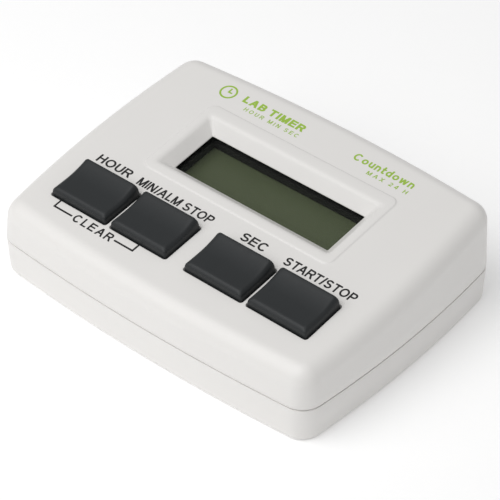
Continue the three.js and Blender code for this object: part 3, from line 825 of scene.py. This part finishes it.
def draw_small_w(p):
    for outer, inner in ((p.left, 0.27), (p.width / 2, 0.27), (p.width / 2, 0.73), (p.right, 0.73)):
        p.slant(outer, X_HEIGHT, inner * p.width, 0)


# Each letter's drawing and its width, where a capital is 1 high.
LETTERS = {
    "A": (draw_a, 0.92), "B": (draw_b, 0.77), "C": (draw_c, 0.90), "E": (draw_e, 0.75),
    "H": (draw_h, 0.78), "I": (draw_i, 0.14), "L": (draw_l, 0.64), "M": (draw_m, 0.95),
    "N": (draw_n, 0.78), "O": (draw_o, 0.96), "P": (draw_p, 0.77), "R": (draw_r, 0.87),
    "S": (draw_s, 0.80), "T": (draw_t, 0.81), "U": (draw_u, 0.78), "X": (draw_x, 0.85),
    "/": (draw_slash, 0.38), "2": (draw_2, 0.68), "4": (draw_4, 0.74),
    "o": (small_ring, 0.70), "d": (draw_small_d, 0.66), "n": (draw_small_n, 0.62),
    "u": (draw_small_u, 0.62), "t": (draw_small_t, 0.44), "w": (draw_small_w, 0.95),
}
SPACE_WIDTH = 0.22
# Pairs of letters that stand closer together.
CLOSER = {"RT": 0.1, "TA": 0.14, "AR": 0.04, "T/": 0.05, "/A": 0.09, "/S": 0.06, "TO": 0.04}


def lettering(text, weight, gap):
    """The shapes of a line of text, capitals 1 high, and its width."""
    shapes, at = [], 0.0
    for i, letter in enumerate(text):
        if letter == " ":
            at += SPACE_WIDTH + gap
            continue
        draw, width = LETTERS[letter]
        width = max(width, weight)
        pen = Pen(width, weight)
        draw(pen)
        shapes += [[(at + x, y) for x, y in shape] for shape in pen.shapes]
        at += width + gap - CLOSER.get(text[i:i + 2], 0.0)
    return shapes, at - gap


def covers(shape, x, y):
    """Whether a closed outline goes round a point."""
    inside = False
    for i, (x1, y1) in enumerate(shape):
        x0, y0 = shape[i - 1]
        if (y0 > y) != (y1 > y) and x < x0 + (x1 - x0) * (y - y0) / (y1 - y0):
            inside = not inside
    return inside


def ink_film(name, ink, shapes):
    """Joins overlapping flat shapes, in deck millimetres, into one thin film of ink."""
    points, edges, boxes = [], [], []
    for shape in shapes:
        first = len(points)
        points += [Vector(point) for point in shape]
        edges += [(first + i, first + (i + 1) % len(shape)) for i in range(len(shape))]
        xs, ys = zip(*shape)
        boxes.append((min(xs), max(xs), min(ys), max(ys)))
    flat, _, triangles, *_ = delaunay_2d_cdt(points, edges, [], 0, 1e-4)
    film = Builder(DECK)
    low = film.ring([(x, y, INK_LIFT) for x, y in flat])
    high = film.ring([(x, y, INK_LIFT + INK_THICKNESS) for x, y in flat])
    border = set()
    for triangle in triangles:
        x, y = sum((flat[i] for i in triangle), Vector((0, 0))) / 3
        if not any(x0 < x < x1 and y0 < y < y1 and covers(shape, x, y)
                   for shape, (x0, x1, y0, y1) in zip(shapes, boxes)):
            continue
        film.bm.faces.new([high[i] for i in triangle])
        film.bm.faces.new([low[i] for i in reversed(triangle)])
        for i, start in enumerate(triangle):
            after = triangle[(i + 1) % 3]
            if (after, start) in border:
                border.remove((after, start))
            else:
                border.add((start, after))
    for start, after in sorted(border):
        film.bm.faces.new((low[start], low[after], high[after], high[start]))
    for vertex in [v for v in film.bm.verts if not v.link_faces]:
        film.bm.verts.remove(vertex)
    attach(film.piece(name, ink), BODY)


def printed(name, text, ink, left, baseline, width, height, weight=0.195, gap=0.115):
    """A line of text, in deck millimetres; its capitals are height tall."""
    shapes, drawn_width = lettering(text, weight, gap)
    across = width / drawn_width
    ink_film(name, ink, [
        [(left + x * across, baseline + y * height) for x, y in shape]
        for shape in shapes
    ])


def thick_line(points, width):
    """The outline of a mitred line through the points."""
    left, right = [], []
    for i, point in enumerate(points):
        here = Vector(point)
        into = here - Vector(points[i - 1]) if i else Vector(points[1]) - here
        out = Vector(points[i + 1]) - here if i < len(points) - 1 else into
        into, out = into.normalized(), out.normalized()
        normal = Vector((-(into + out).y, (into + out).x)).normalized()
        reach = width / 2 / normal.dot(Vector((-into.y, into.x)))
        left.append(here + normal * reach)
        right.append(here - normal * reach)
    return left + right[::-1]


def legends():
    printed("legend_hour", "HOUR", INK_BLACK, -31.3, -8.0, 8.7, 2.1)
    printed("legend_minute", "MIN/ALM STOP", INK_BLACK, -20.5, -8.2, 18.8, 2.12)
    printed("legend_second", "SEC", INK_BLACK, 5.25, -7.85, 6.2, 2.15)
    printed("legend_start", "START/STOP", INK_BLACK, 15.9, -8.0, 16.7, 2.15)
    printed("legend_clear", "CLEAR", INK_BLACK, -23.7, -22.85, 9.9, 2.0, gap=0.24)
    level, line, middle = -21.95, 0.40, -18.75
    ink_film("clear_bracket", INK_BLACK, [
        thick_line([(middle + side * 10.1, -20.15), (middle + side * 10.1, level),
                    (middle + side * 5.45, level)], line)
        for side in (-1, 1)
    ])


def ring_halves(cx, cy, radius, width, steps=24):
    halves = []
    for start in (0, math.pi):
        turns = [start + math.pi * i / steps for i in range(steps + 1)]
        arcs = [[(cx + r * math.cos(a), cy + r * math.sin(a)) for a in turns]
                for r in (radius + width / 2, radius - width / 2)]
        halves.append(arcs[0] + arcs[1][::-1])
    return halves


def heading():
    """A plain clock face and generic words, in green, along the high edge of the deck."""
    cx, cy, radius = -23.2, 22.1, 1.7
    hands = thick_line([(cx, cy + 1.15), (cx, cy), (cx + 0.85, cy)], 0.36)
    ink_film("clock_mark", INK_GREEN, ring_halves(cx, cy, radius, 0.4) + [hands])
    printed("heading_words", "LAB TIMER", INK_GREEN, -19.3, 21.5, 15.4, 1.9, 0.25, 0.14)
    printed("heading_small", "HOUR MIN SEC", INK_GREEN, -17.4, 19.7, 13.7, 1.0, 0.17, 0.5)
    printed("heading_right", "Countdown", INK_GREEN, 8.6, 21.5, 14.4, 1.9, 0.2, 0.16)
    printed("heading_span", "MAX 24 H", INK_GREEN, 13.4, 19.7, 9.6, 1.0, 0.17, 0.5)


# ---------- stage ----------
def area_light(name, location, target, size, power):
    light = bpy.data.lights.new(name, "AREA")
    light.shape = "RECTANGLE"
    light.size, light.size_y = size
    light.energy = power
    lamp = bpy.data.objects.new(name, light)
    lamp.location = location
    lamp.rotation_euler = (Vector(target) - Vector(location)).to_track_quat("-Z", "Y").to_euler()
    bpy.context.scene.collection.objects.link(lamp)


FLOOR_REACH, FLOOR_Z, FLOOR_GLOW = 3000, -0.02, 0.14
WORLD_LIGHT, WORLD_SEEN = 0.36, 0.68
SKY_POWER, SKY_ANGLE, SKY_DIRECTION = 0.78, math.radians(60), (0.0, 0.28, -0.95)


def stage():
    floor = Builder()
    corners = ((-1, -1), (1, -1), (1, 1), (-1, 1))
    floor.cap(floor.ring([(x * FLOOR_REACH, y * FLOOR_REACH, FLOOR_Z) for x, y in corners]))
    pale = moulded("pale_floor", (0.97, 0.97, 0.97), 0.8, grain=1.0, spread=0.004, specular=0.1)
    glow = pale.node_tree.nodes["Principled BSDF"]
    glow.inputs["Emission Color"].default_value = (1, 1, 1, 1)
    glow.inputs["Emission Strength"].default_value = FLOOR_GLOW
    floor.piece("floor", pale)
    world = bpy.data.worlds.new("studio")
    bpy.context.scene.world = world
    world.use_nodes = True
    nodes, links = world.node_tree.nodes, world.node_tree.links
    lighting, seen = nodes["Background"], nodes.new("ShaderNodeBackground")
    lighting.inputs["Color"].default_value = (1, 1, 1, 1)
    lighting.inputs["Strength"].default_value = WORLD_LIGHT
    seen.inputs["Color"].default_value = (1, 1, 1, 1)
    seen.inputs["Strength"].default_value = WORLD_SEEN
    rays, mix = nodes.new("ShaderNodeLightPath"), nodes.new("ShaderNodeMixShader")
    links.new(rays.outputs["Is Camera Ray"], mix.inputs["Fac"])
    links.new(lighting.outputs["Background"], mix.inputs[1])
    links.new(seen.outputs["Background"], mix.inputs[2])
    links.new(mix.outputs["Shader"], nodes["World Output"].inputs["Surface"])
    area_light("key", (-0.12, -0.25, 0.35), (0, 0, 0.01), (0.4, 0.4), 0.9)
    # A broad, even light from high in front also reaches the far floor.
    sky = bpy.data.lights.new("sky", "SUN")
    sky.energy = SKY_POWER
    sky.angle = SKY_ANGLE
    lamp = bpy.data.objects.new("sky", sky)
    lamp.rotation_euler = Vector(SKY_DIRECTION).to_track_quat("-Z", "Y").to_euler()
    bpy.context.scene.collection.objects.link(lamp)
    bpy.context.scene.view_settings.view_transform = "Standard"


# The camera stands to the right of the front and looks down at the deck.
CAMERA_AZIMUTH, CAMERA_ELEVATION, CAMERA_ROLL = 41.01, 40.11, -0.18
CAMERA_TARGET, CAMERA_DISTANCE = (3.5, -2.5, 11.0), 461.4
CAMERA_LENS, CAMERA_SENSOR = 175.71, 36
CAMERA_NEAR, CAMERA_FAR = 0.01, 20


def camera():
    azimuth, elevation = math.radians(CAMERA_AZIMUTH), math.radians(CAMERA_ELEVATION)
    back = Vector((
        math.sin(azimuth) * math.cos(elevation),
        -math.cos(azimuth) * math.cos(elevation),
        math.sin(elevation),
    ))
    data = bpy.data.cameras.new("camera")
    data.lens = CAMERA_LENS
    data.sensor_width = CAMERA_SENSOR
    data.clip_start, data.clip_end = CAMERA_NEAR, CAMERA_FAR
    eye = bpy.data.objects.new("camera", data)
    turned = (-back).to_track_quat("-Z", "Y").to_matrix()
    turned = turned @ Matrix.Rotation(math.radians(CAMERA_ROLL), 3, "Z")
    eye.matrix_world = Matrix.Translation(
        (Vector(CAMERA_TARGET) + back * CAMERA_DISTANCE) * MM
    ) @ turned.to_4x4()
    bpy.context.scene.collection.objects.link(eye)
    bpy.context.scene.camera = eye


camera()
top_case()
bottom_case()
battery_door()
for key_name, key_centre in zip(KEYS, key_centres()):
    key_cap(key_name, key_centre)
    keypad_dome(key_name, key_centre)
legends()
heading()
stage()
